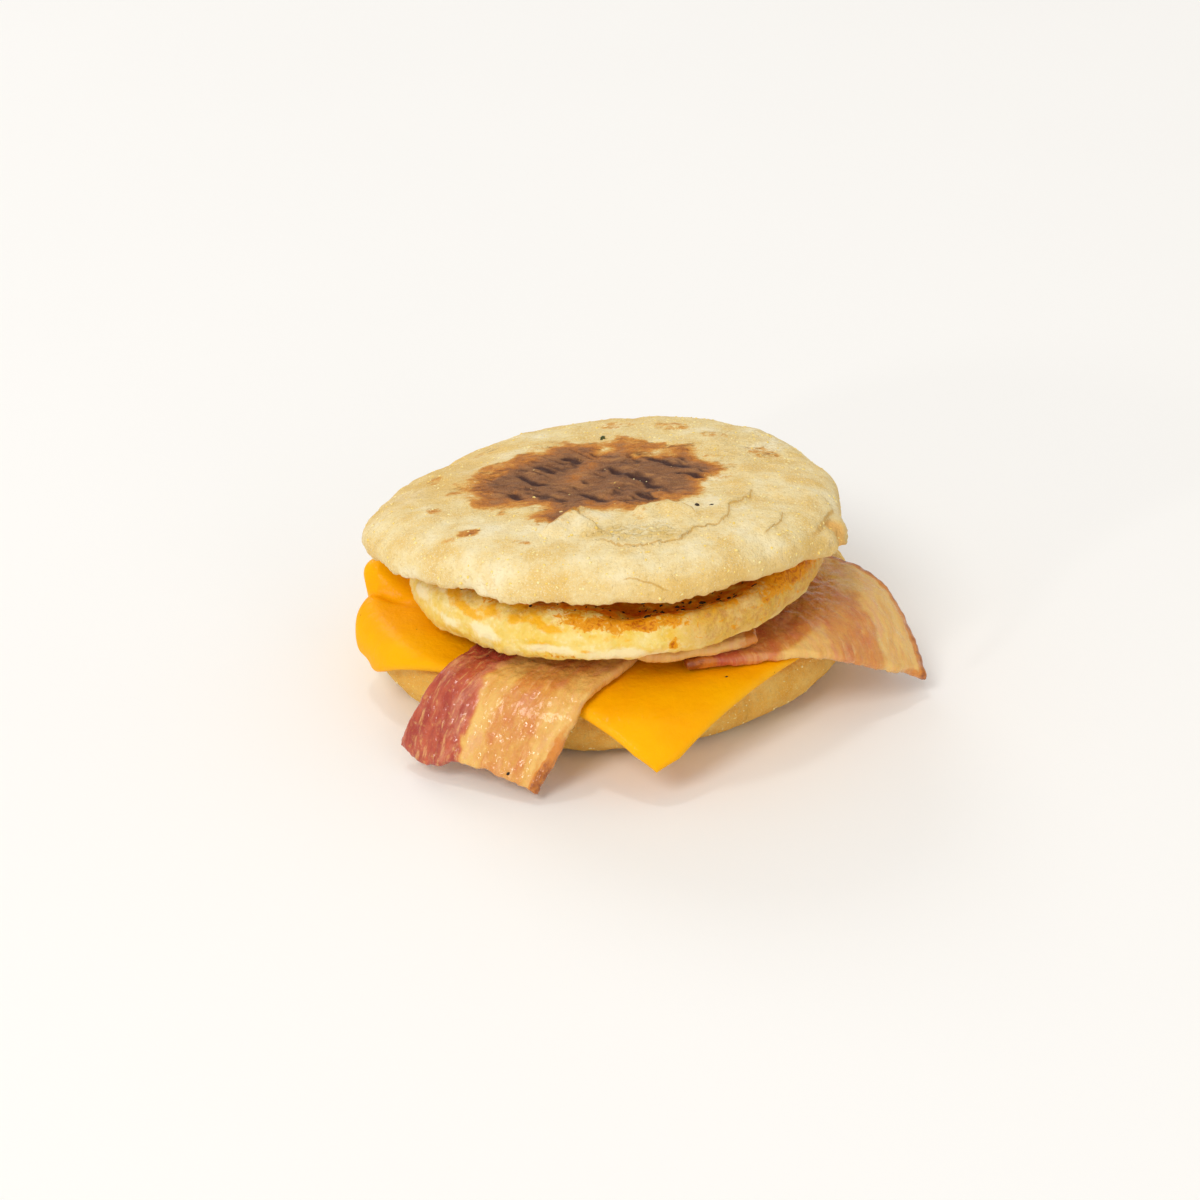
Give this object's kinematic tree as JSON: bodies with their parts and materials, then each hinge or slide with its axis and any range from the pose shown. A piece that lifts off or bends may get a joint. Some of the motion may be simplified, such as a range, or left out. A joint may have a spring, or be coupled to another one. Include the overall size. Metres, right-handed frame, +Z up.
{
  "type": "breakfast sandwich",
  "caption": "Toasted muffin sandwich with a round fried egg, crisp bacon strips and a soft cheese slice that hangs over the lower half.",
  "frame": {"origin": "centre of the flat face under the lower muffin half, on which the sandwich rests", "axes": "+Z up, -Y towards the side that shows the egg, bacon and cheese corner, +X to the right of that view"},
  "size_m": [0.1091, 0.1085, 0.0451],
  "materials": {
    "muffin_crust": "dry floury crust with toasted patches",
    "cheese": "smooth, slightly greasy",
    "bacon": "wet, marbled",
    "egg": "soft, with browned spots"
  },
  "bodies": {
    "root": {"muffin_bottom": "muffin_crust", "cheese_slice": "cheese", "bacon_left": "bacon", "bacon_right": "bacon", "bacon_middle": "bacon", "egg_patty": "egg", "muffin_top": "muffin_crust"}
  },
  "joints": []
}
